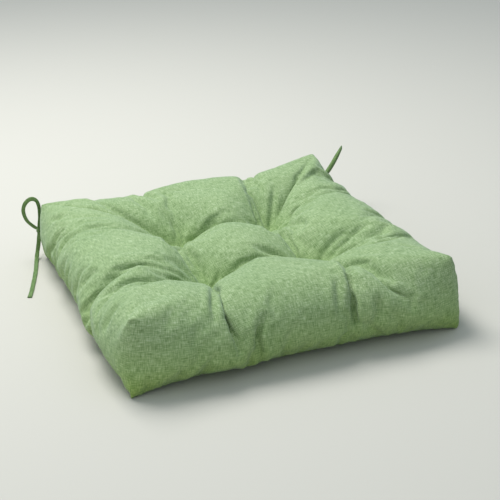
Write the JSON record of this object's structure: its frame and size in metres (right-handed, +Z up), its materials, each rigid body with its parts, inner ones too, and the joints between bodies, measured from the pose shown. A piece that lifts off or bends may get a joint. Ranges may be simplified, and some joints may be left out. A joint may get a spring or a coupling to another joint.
{
  "type": "chair seat pad",
  "caption": "Square overstuffed seat pad with boxed corners, tufted through into plump pillows, with a pair of fabric ties at each rear corner.",
  "frame": {"origin": "middle of the underside, on the seat that the pad rests on", "axes": "+Z up through the thickness, -Y towards the front edge, +X to the right of someone who faces the way the pad's rear looks"},
  "size_m": [0.6365, 0.575, 0.125],
  "materials": {
    "cover_cloth": "matt heathered plain weave in leaf green",
    "tie_strap": "the same cloth folded into a narrow strap",
    "sewing_thread": "spun polyester thread with a slight lustre",
    "polyester_fibre": "loose white crimped fibre",
    "label_satin": "blank white satin tape"
  },
  "bodies": {
    "root": {"top_panel": "cover_cloth", "bottom_panel": "cover_cloth", "polyester_fill": "polyester_fibre", "tuft_needle_thread_front_left": "sewing_thread", "tuft_bobbin_thread_front_left": "sewing_thread", "tuft_needle_thread_front_right": "sewing_thread", "tuft_bobbin_thread_front_right": "sewing_thread", "tuft_needle_thread_rear_left": "sewing_thread", "tuft_bobbin_thread_rear_left": "sewing_thread", "tuft_needle_thread_rear_right": "sewing_thread", "tuft_bobbin_thread_rear_right": "sewing_thread", "perimeter_seam_thread": "sewing_thread", "closing_seam_thread": "sewing_thread", "corner_seam_thread_front_left": "sewing_thread", "corner_seam_thread_front_right": "sewing_thread", "corner_seam_thread_rear_left": "sewing_thread", "corner_seam_thread_rear_right": "sewing_thread", "tie_left_loop": "tie_strap", "tie_left_tail": "tie_strap", "tie_left_rear_tail": "tie_strap", "tie_left_knot": "tie_strap", "tie_right_loop": "tie_strap", "tie_right_tail": "tie_strap", "tie_right_rear_tail": "tie_strap", "tie_right_knot": "tie_strap", "care_label": "label_satin"}
  },
  "joints": []
}
